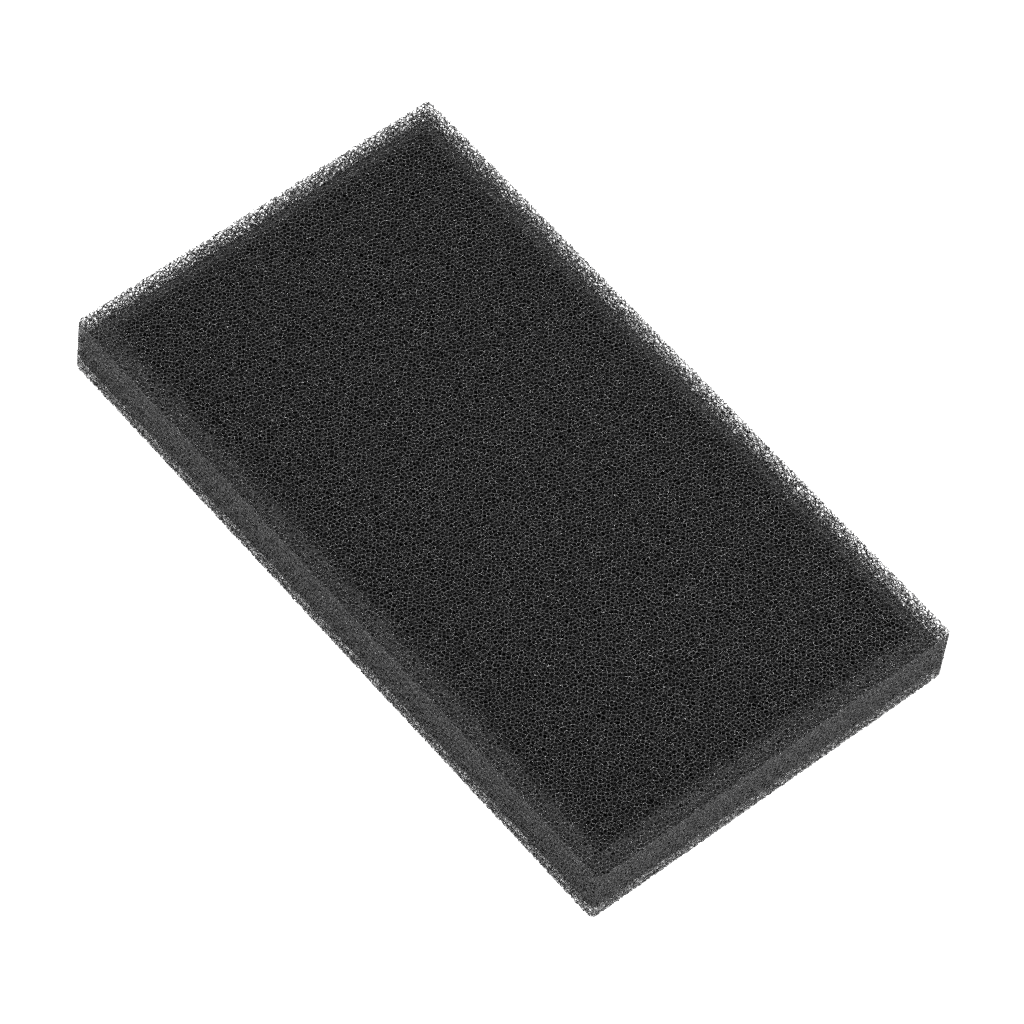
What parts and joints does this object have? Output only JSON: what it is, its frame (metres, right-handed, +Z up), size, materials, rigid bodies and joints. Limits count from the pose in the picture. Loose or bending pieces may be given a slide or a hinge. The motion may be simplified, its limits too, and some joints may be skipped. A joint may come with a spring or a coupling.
{
  "type": "foam air filter pad",
  "caption": "Flat rectangular pad of open-cell foam that filters the intake air of a small engine, cut square from sheet.",
  "frame": {"origin": "middle of the pad's bottom face", "axes": "+X along the pad's length, +Y across its width, +Z up through its thickness"},
  "size_m": [0.134, 0.076, 0.0127],
  "materials": {
    "foam": "open-cell foam, charcoal strands with a soft satin"
  },
  "bodies": {
    "root": {"foam_pad": "foam"}
  },
  "joints": []
}
